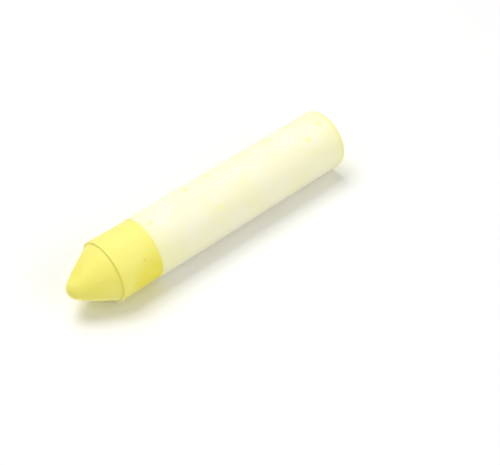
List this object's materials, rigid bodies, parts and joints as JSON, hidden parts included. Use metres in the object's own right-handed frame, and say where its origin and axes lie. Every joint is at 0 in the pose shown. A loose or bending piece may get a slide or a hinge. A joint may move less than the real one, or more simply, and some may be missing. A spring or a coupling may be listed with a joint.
{
  "type": "tire marking chalk",
  "caption": "Round stick of wax-bound marking chalk with a blunt cone nose, a narrow flat ledge at the cone's base and a rolled paper wrapper, standing on its flat rear end.",
  "frame": {"origin": "centre of the flat rear face, which the stick stands on", "axes": "+Z along the stick from its rear face to its nose; +Y towards the wrapper's lap seam"},
  "size_m": [0.0176, 0.0177, 0.09],
  "materials": {
    "chalk": "satin",
    "paper": "matte"
  },
  "bodies": {
    "root": {"chalk_stick": "chalk", "paper_wrapper": "paper"}
  },
  "joints": []
}
